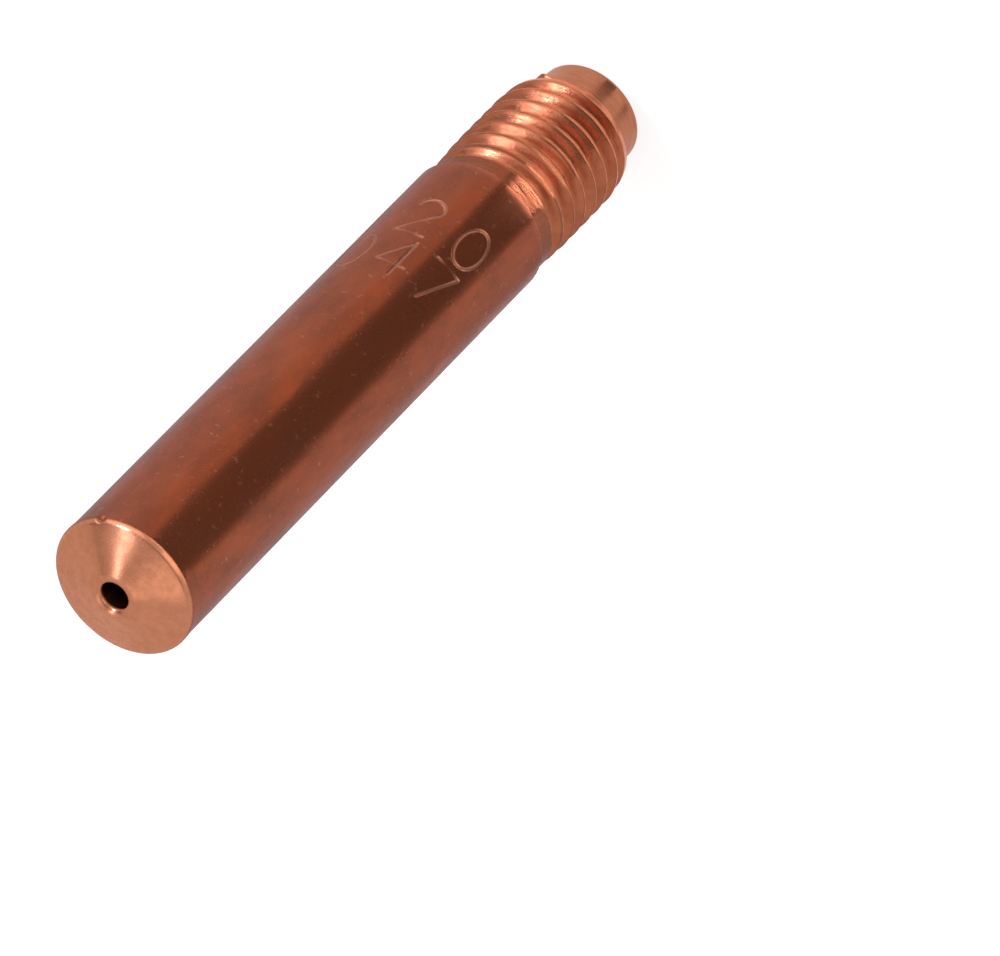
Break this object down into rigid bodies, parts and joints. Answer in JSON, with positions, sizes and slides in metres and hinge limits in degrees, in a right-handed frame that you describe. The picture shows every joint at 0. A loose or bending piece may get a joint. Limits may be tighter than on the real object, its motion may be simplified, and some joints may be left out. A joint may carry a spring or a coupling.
{
  "type": "welding contact tip",
  "caption": "Slim turned copper contact tip with a shallow conical nose, a through bore for the welding wire and a short threaded shank that ends in a plain pilot.",
  "frame": {"origin": "on the bore axis, at the flat back end that the tip stands on", "axes": "+Z along the bore axis, from the back end towards the nose"},
  "size_m": [0.0064, 0.0064, 0.0381],
  "materials": {
    "turned_copper": "turned copper, satin with a dulled body and bright thread"
  },
  "bodies": {
    "root": {"contact_tip": "turned_copper"}
  },
  "joints": []
}
